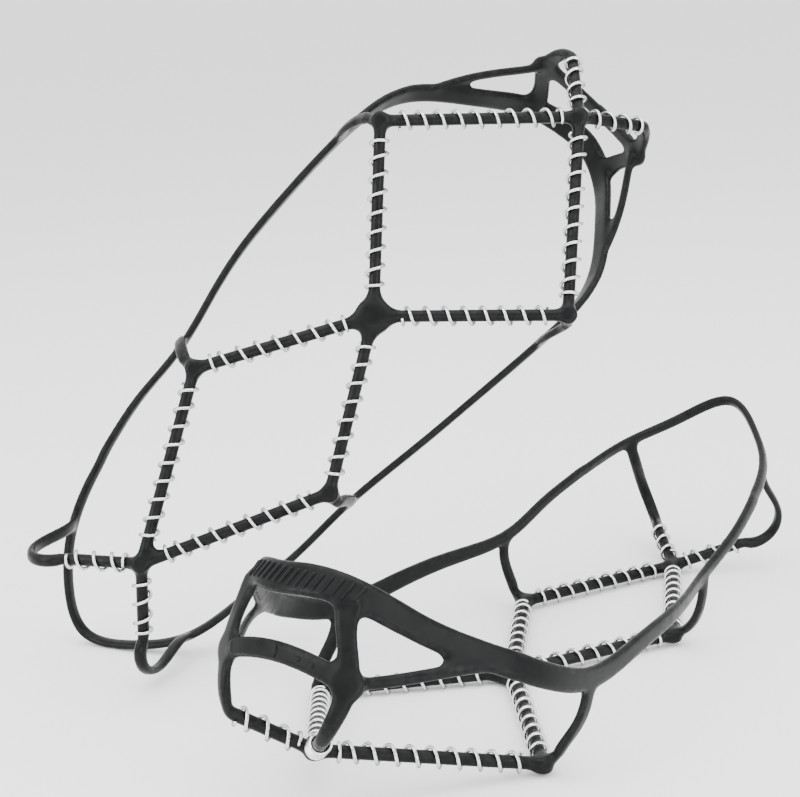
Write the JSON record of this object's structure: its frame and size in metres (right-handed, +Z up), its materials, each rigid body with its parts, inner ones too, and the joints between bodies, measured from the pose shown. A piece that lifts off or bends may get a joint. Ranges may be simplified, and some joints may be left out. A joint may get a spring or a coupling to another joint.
{
  "type": "coil ice cleats",
  "caption": "Pair of pull-on ice cleats: elastic rubber harnesses with a girdle, toe bands and a diamond net of cords under the sole, each cord wound with loose steel coils.",
  "frame": {"origin": "on the ground, under the middle of the box around the pair", "axes": "+X from the heel to the toe of the upright left cleat, +Y towards its outer side, +Z up"},
  "size_m": [0.3028, 0.2348, 0.2241],
  "materials": {
    "elastomer": "moulded, satin matte black",
    "coil_steel": "bright plated wire"
  },
  "bodies": {
    "left_harness": {"left_sole_web": "elastomer", "left_toe_web": "elastomer", "left_side_band_outer": "elastomer", "left_side_band_inner": "elastomer", "left_heel_web": "elastomer"},
    "left_coil_hub_front_outer": {"left_coil_hub_front_outer": "coil_steel"},
    "left_coil_hub_front_inner": {"left_coil_hub_front_inner": "coil_steel"},
    "left_coil_hub_rear_outer": {"left_coil_hub_rear_outer": "coil_steel"},
    "left_coil_hub_rear_inner": {"left_coil_hub_rear_inner": "coil_steel"},
    "left_coil_toe_outer": {"left_coil_toe_outer": "coil_steel"},
    "left_coil_toe_inner": {"left_coil_toe_inner": "coil_steel"},
    "left_coil_toe_leg_outer": {"left_coil_toe_leg_outer": "coil_steel"},
    "left_coil_toe_leg_inner": {"left_coil_toe_leg_inner": "coil_steel"},
    "left_coil_heel_outer": {"left_coil_heel_outer": "coil_steel"},
    "left_coil_heel_inner": {"left_coil_heel_inner": "coil_steel"},
    "left_coil_heel_leg_outer": {"left_coil_heel_leg_outer": "coil_steel"},
    "left_coil_heel_leg_inner": {"left_coil_heel_leg_inner": "coil_steel"},
    "right_harness": {"right_sole_web": "elastomer", "right_toe_web": "elastomer", "right_side_band_outer": "elastomer", "right_side_band_inner": "elastomer", "right_heel_web": "elastomer"},
    "right_coil_hub_front_outer": {"right_coil_hub_front_outer": "coil_steel"},
    "right_coil_hub_front_inner": {"right_coil_hub_front_inner": "coil_steel"},
    "right_coil_hub_rear_outer": {"right_coil_hub_rear_outer": "coil_steel"},
    "right_coil_hub_rear_inner": {"right_coil_hub_rear_inner": "coil_steel"},
    "right_coil_toe_outer": {"right_coil_toe_outer": "coil_steel"},
    "right_coil_toe_inner": {"right_coil_toe_inner": "coil_steel"},
    "right_coil_toe_leg_outer": {"right_coil_toe_leg_outer": "coil_steel"},
    "right_coil_toe_leg_inner": {"right_coil_toe_leg_inner": "coil_steel"},
    "right_coil_heel_outer": {"right_coil_heel_outer": "coil_steel"},
    "right_coil_heel_inner": {"right_coil_heel_inner": "coil_steel"},
    "right_coil_heel_leg_outer": {"right_coil_heel_leg_outer": "coil_steel"},
    "right_coil_heel_leg_inner": {"right_coil_heel_leg_inner": "coil_steel"}
  },
  "joints": [
    {"name": "left_hub_front_outer_turn", "type": "hinge", "parent": "left_harness", "child": "left_coil_hub_front_outer", "pos_m": [0.04981, 0.08083, 0.0038], "axis": [0.7387, 0.674, 0], "continuous": true},
    {"name": "left_hub_front_inner_turn", "type": "hinge", "parent": "left_harness", "child": "left_coil_hub_front_inner", "pos_m": [0.04806, 0.02862, 0.0038], "axis": [0.7022, -0.712, 0], "continuous": true},
    {"name": "left_hub_rear_outer_turn", "type": "hinge", "parent": "left_harness", "child": "left_coil_hub_rear_outer", "pos_m": [-0.00996, 0.07324, 0.00406], "axis": [-0.87, 0.493, 0.0073], "continuous": true},
    {"name": "left_hub_rear_inner_turn", "type": "hinge", "parent": "left_harness", "child": "left_coil_hub_rear_inner", "pos_m": [-0.00894, 0.03724, 0.00407], "axis": [-0.8627, -0.5057, 0.0074], "continuous": true},
    {"name": "left_toe_outer_turn", "type": "hinge", "parent": "left_harness", "child": "left_coil_toe_outer", "pos_m": [0.10313, 0.07895, 0.0113], "axis": [0.7234, -0.6619, 0.1962], "continuous": true},
    {"name": "left_toe_inner_turn", "type": "hinge", "parent": "left_harness", "child": "left_coil_toe_inner", "pos_m": [0.10143, 0.02896, 0.0113], "axis": [0.7509, 0.6319, 0.1919], "continuous": true},
    {"name": "left_toe_leg_outer_turn", "type": "hinge", "parent": "left_harness", "child": "left_coil_toe_leg_outer", "pos_m": [0.1408, 0.06451, 0.0277], "axis": [0.5809, 0.6293, 0.5163], "continuous": true},
    {"name": "left_toe_leg_inner_turn", "type": "hinge", "parent": "left_harness", "child": "left_coil_toe_leg_inner", "pos_m": [0.1408, 0.0428, 0.0277], "axis": [0.5809, -0.6293, 0.5163], "continuous": true},
    {"name": "left_heel_outer_turn", "type": "hinge", "parent": "left_harness", "child": "left_coil_heel_outer", "pos_m": [-0.06932, 0.07179, 0.00406], "axis": [-0.8719, -0.4896, -0.0067], "continuous": true},
    {"name": "left_heel_inner_turn", "type": "hinge", "parent": "left_harness", "child": "left_coil_heel_inner", "pos_m": [-0.06827, 0.03632, 0.00406], "axis": [-0.905, 0.4255, -0.0068], "continuous": true},
    {"name": "left_heel_leg_outer_turn", "type": "hinge", "parent": "left_harness", "child": "left_coil_heel_leg_outer", "pos_m": [-0.11455, 0.06541, 0.00833], "axis": [-0.6446, 0.7198, 0.2578], "continuous": true},
    {"name": "left_heel_leg_inner_turn", "type": "hinge", "parent": "left_harness", "child": "left_coil_heel_leg_inner", "pos_m": [-0.11464, 0.04191, 0.00837], "axis": [-0.6963, -0.6615, 0.2785], "continuous": true},
    {"name": "right_cleat_lift", "type": "slide", "parent": "left_harness", "child": "right_harness", "axis": [0, 0, 1], "range_m": [0, 0.15]},
    {"name": "right_hub_front_outer_turn", "type": "hinge", "parent": "right_harness", "child": "right_coil_hub_front_outer", "pos_m": [0.01484, -0.00333, 0.17103], "axis": [-0.2883, -0.1207, 0.9499], "continuous": true},
    {"name": "right_hub_front_inner_turn", "type": "hinge", "parent": "right_harness", "child": "right_coil_hub_front_inner", "pos_m": [0.00335, 0.03117, 0.13351], "axis": [-0.5994, 0.7995, -0.0395], "continuous": true},
    {"name": "right_hub_rear_outer_turn", "type": "hinge", "parent": "right_harness", "child": "right_coil_hub_rear_outer", "pos_m": [0.04926, -0.02544, 0.1268], "axis": [0.6436, -0.7318, -0.2244], "continuous": true},
    {"name": "right_hub_rear_inner_turn", "type": "hinge", "parent": "right_harness", "child": "right_coil_hub_rear_inner", "pos_m": [0.03998, -0.00065, 0.10238], "axis": [0.3988, -0.0536, -0.9155], "continuous": true},
    {"name": "right_toe_outer_turn", "type": "hinge", "parent": "right_harness", "child": "right_coil_toe_outer", "pos_m": [-0.02379, 0.01775, 0.20211], "axis": [-0.7485, 0.6612, -0.0503], "continuous": true},
    {"name": "right_toe_inner_turn", "type": "hinge", "parent": "right_harness", "child": "right_coil_toe_inner", "pos_m": [-0.03477, 0.05078, 0.16617], "axis": [-0.4508, -0.1982, 0.8703], "continuous": true},
    {"name": "right_toe_leg_outer_turn", "type": "hinge", "parent": "right_harness", "child": "right_coil_toe_leg_outer", "pos_m": [-0.06262, 0.03506, 0.21157], "axis": [-0.5928, -0.4621, 0.6596], "continuous": true},
    {"name": "right_toe_leg_inner_turn", "type": "hinge", "parent": "right_harness", "child": "right_coil_toe_leg_inner", "pos_m": [-0.06784, 0.04973, 0.19645], "axis": [-0.8955, 0.3885, -0.2172], "continuous": true},
    {"name": "right_heel_outer_turn", "type": "hinge", "parent": "right_harness", "child": "right_coil_heel_outer", "pos_m": [0.08511, -0.05137, 0.08719], "axis": [0.419, -0.0604, -0.906], "continuous": true},
    {"name": "right_heel_inner_turn", "type": "hinge", "parent": "right_harness", "child": "right_coil_heel_inner", "pos_m": [0.07594, -0.02692, 0.06316], "axis": [0.6592, -0.6938, -0.2899], "continuous": true},
    {"name": "right_heel_leg_outer_turn", "type": "hinge", "parent": "right_harness", "child": "right_coil_heel_leg_outer", "pos_m": [0.10793, -0.07003, 0.05204], "axis": [0.3714, -0.9285, 0.0042], "continuous": true},
    {"name": "right_heel_leg_inner_turn", "type": "hinge", "parent": "right_harness", "child": "right_coil_heel_leg_inner", "pos_m": [0.1023, -0.05421, 0.0356], "axis": [0.0551, -0.0304, -0.998], "continuous": true}
  ]
}
